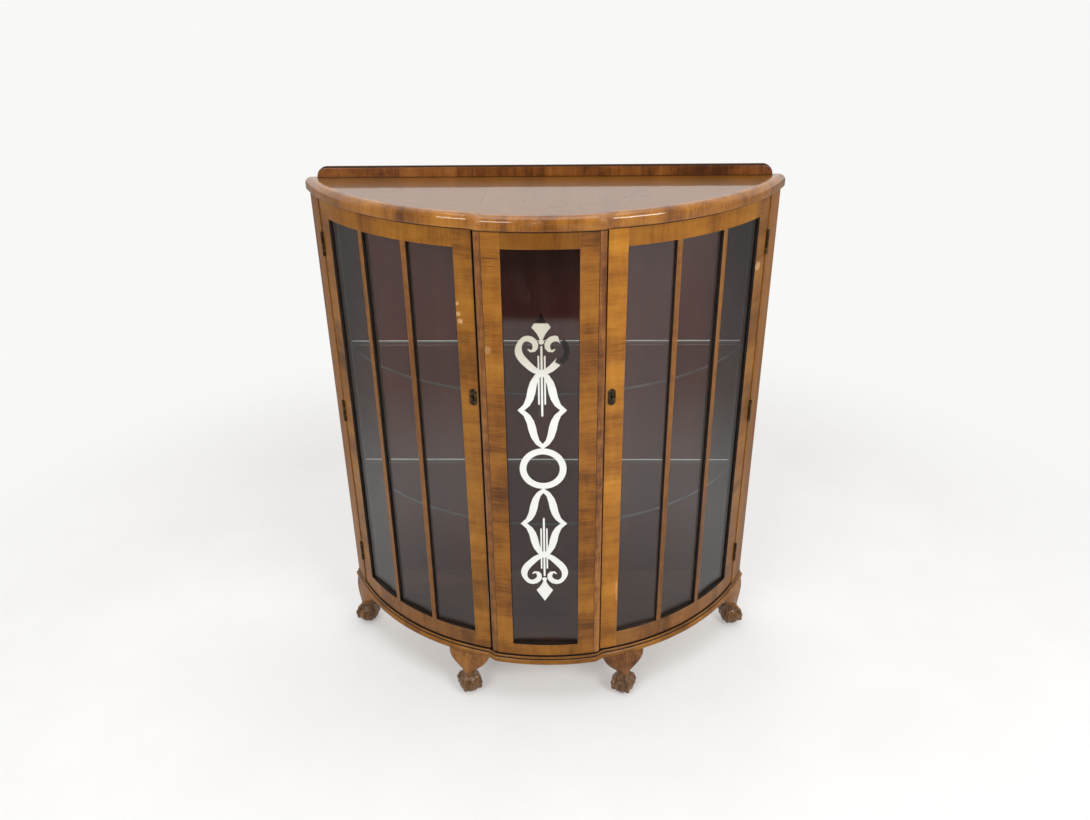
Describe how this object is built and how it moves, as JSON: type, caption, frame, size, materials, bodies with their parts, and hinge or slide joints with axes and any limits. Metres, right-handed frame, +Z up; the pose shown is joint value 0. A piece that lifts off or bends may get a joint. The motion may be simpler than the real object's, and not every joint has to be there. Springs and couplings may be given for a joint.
{
  "type": "china cabinet",
  "caption": "Bow-fronted walnut china cabinet with hinged glazed doors, a fixed ornamented centre panel, glass shelves and claw and ball feet.",
  "frame": {"origin": "on the floor under the centre of the cabinet's bounding box", "axes": "+Z up, +X to the viewer's right, -Y out of the bow front"},
  "size_m": [1.0178, 0.3379, 1.188],
  "materials": {
    "walnut": "glossy lacquered veneer",
    "carved_walnut": "dark polished carving",
    "back_panel": "satin veneered ply",
    "glass": "clear polished",
    "brass": "aged bronze",
    "steel": "plain",
    "ornament_paint": "white paint"
  },
  "bodies": {
    "carcass": {"back_panel": "back_panel", "base_board": "walnut", "base_moulding": "walnut", "centre_bottom_rail": "walnut", "centre_glass": "glass", "centre_glass_beads": "walnut", "centre_top_rail": "walnut", "front_left_leg": "carved_walnut", "front_right_leg": "carved_walnut", "gallery": "walnut", "glass_ornament": "ornament_paint", "left_centre_post": "walnut", "left_centre_stile": "walnut", "left_hinge_pins": "brass", "left_hinge_post_leaves": "brass", "left_side_post": "walnut", "leg_tenons": "walnut", "lock_keeps": "brass", "lower_shelf": "glass", "rear_left_leg": "carved_walnut", "rear_right_leg": "carved_walnut", "right_centre_post": "walnut", "right_centre_stile": "walnut", "right_hinge_pins": "brass", "right_hinge_post_leaves": "brass", "right_side_post": "walnut", "shelf_pegs": "brass", "top_board": "walnut", "top_moulding": "walnut", "upper_shelf": "glass"},
    "left_door": {"left_door_bottom_rail": "walnut", "left_door_glazing_bars": "walnut", "left_door_glazing_beads": "walnut", "left_door_hinge_stile": "walnut", "left_door_inner_pane": "glass", "left_door_lock_stile": "walnut", "left_door_middle_pane": "glass", "left_door_outer_pane": "glass", "left_door_top_rail": "walnut", "left_escutcheon": "brass", "left_hinge_door_leaves": "brass", "left_lock_case": "steel"},
    "right_door": {"right_door_bottom_rail": "walnut", "right_door_glazing_bars": "walnut", "right_door_glazing_beads": "walnut", "right_door_hinge_stile": "walnut", "right_door_inner_pane": "glass", "right_door_lock_stile": "walnut", "right_door_middle_pane": "glass", "right_door_outer_pane": "glass", "right_door_top_rail": "walnut", "right_escutcheon": "brass", "right_hinge_door_leaves": "brass", "right_lock_case": "steel"},
    "left_lock_bolt": {"left_lock_bolt": "steel"},
    "right_lock_bolt": {"right_lock_bolt": "steel"}
  },
  "joints": [
    {"name": "left_door_hinge", "type": "hinge", "parent": "carcass", "child": "left_door", "pos_m": [-0.47063, 0.11242, 0.635], "axis": [0, 0, -1], "range_deg": [0, 110]},
    {"name": "right_door_hinge", "type": "hinge", "parent": "carcass", "child": "right_door", "pos_m": [0.47063, 0.11242, 0.635], "axis": [0, 0, 1], "range_deg": [0, 110]},
    {"name": "left_bolt_slide", "type": "slide", "parent": "left_door", "child": "left_lock_bolt", "axis": [0.9676, -0.2527, 0], "range_m": [0, 0.008]},
    {"name": "right_bolt_slide", "type": "slide", "parent": "right_door", "child": "right_lock_bolt", "axis": [-0.9676, -0.2527, 0], "range_m": [0, 0.008]}
  ]
}
